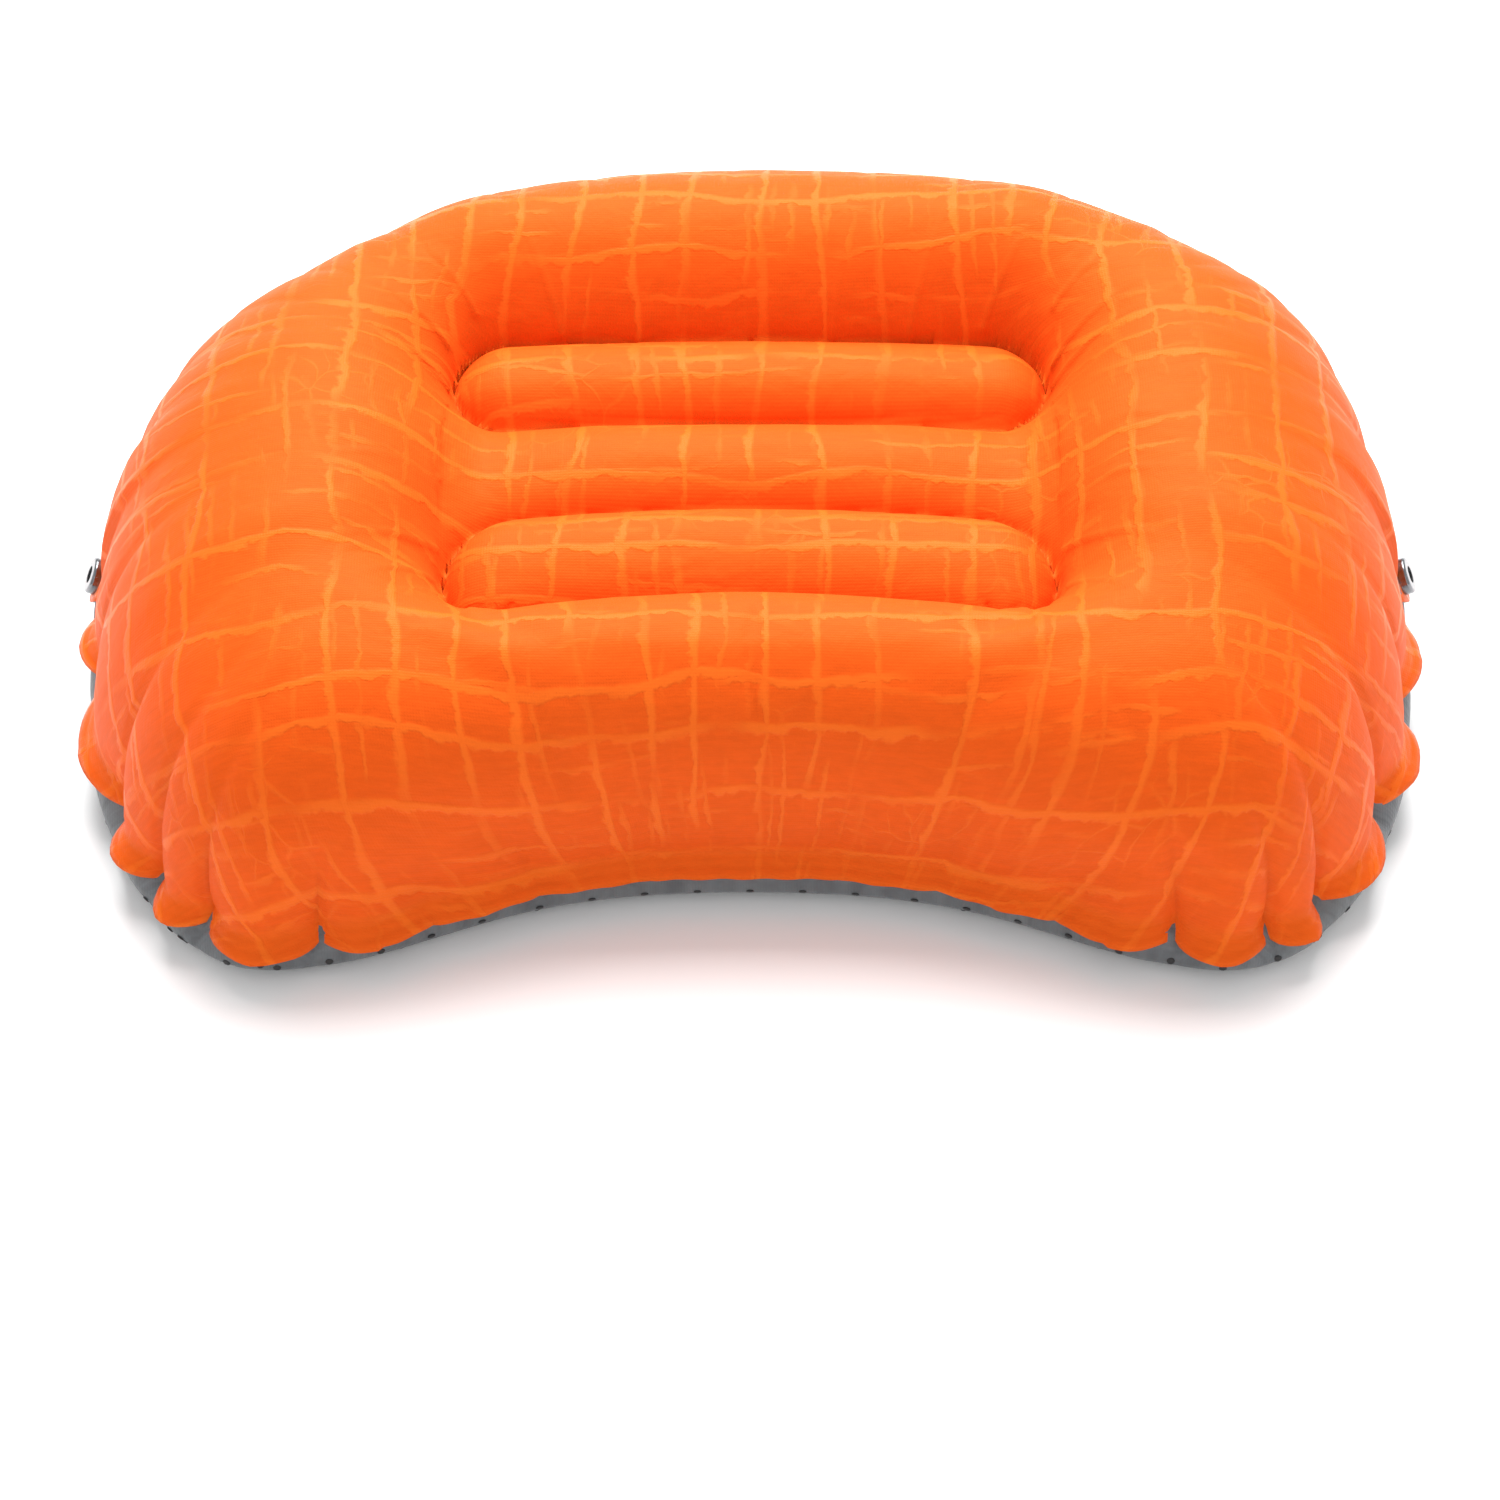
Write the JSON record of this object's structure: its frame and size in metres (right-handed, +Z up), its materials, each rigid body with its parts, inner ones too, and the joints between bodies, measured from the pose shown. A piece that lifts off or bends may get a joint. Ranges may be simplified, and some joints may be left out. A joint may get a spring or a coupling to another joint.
{
  "type": "inflatable camp pillow",
  "caption": "Inflatable camp pillow with a curved neck side, a sunken ribbed middle, side snaps and a double-lid valve.",
  "frame": {"origin": "on the ground, under the middle of the whole pillow's box", "axes": "+X to the sleeper's right along the width, +Y away from the neck towards the back wall with the valve, +Z up"},
  "size_m": [0.4438, 0.2899, 0.1156],
  "materials": {
    "shell_cloth": "matte laminated cloth with an embossed crackle grid",
    "base_cloth": "matte laminated cloth",
    "grip_dot": "matte printed silicone",
    "baffle_film": "translucent film",
    "snap_metal": "dark nickel",
    "spring_wire": "bright wire",
    "valve_black": "satin moulded",
    "flap_silicone": "soft translucent"
  },
  "bodies": {
    "root": {"top_panel": "shell_cloth", "bottom_panel": "base_cloth", "grip_dots": "grip_dot", "baffle_front": "baffle_film", "baffle_front_middle": "baffle_film", "baffle_rear_middle": "baffle_film", "baffle_rear": "baffle_film", "left_snap_socket": "snap_metal", "left_snap_spring": "spring_wire", "left_snap_cap": "snap_metal", "right_snap_socket": "snap_metal", "right_snap_spring": "spring_wire", "right_snap_cap": "snap_metal", "valve_base": "valve_black", "deflate_lid_tether": "valve_black"},
    "deflate_lid": {"deflate_lid": "valve_black", "inflate_cap_tether": "valve_black", "flap_keeper": "valve_black"},
    "inflate_cap": {"inflate_cap": "valve_black"},
    "check_flap": {"check_flap": "flap_silicone"}
  },
  "joints": [
    {"name": "deflate_lid_hinge", "type": "hinge", "parent": "root", "child": "deflate_lid", "pos_m": [0, 0.1348, 0.07824], "axis": [1, 0, 0], "range_deg": [0, 90]},
    {"name": "inflate_cap_hinge", "type": "hinge", "parent": "deflate_lid", "child": "inflate_cap", "pos_m": [0, 0.13911, 0.07334], "axis": [1, 0, 0], "range_deg": [0, 100]},
    {"name": "check_flap_hinge", "type": "hinge", "parent": "deflate_lid", "child": "check_flap", "pos_m": [0, 0.13171, 0.06933], "axis": [-1, 0, 0], "range_deg": [0, 25], "stiffness_Nm_per_rad": 0.00008, "springref_deg": -14.32}
  ]
}
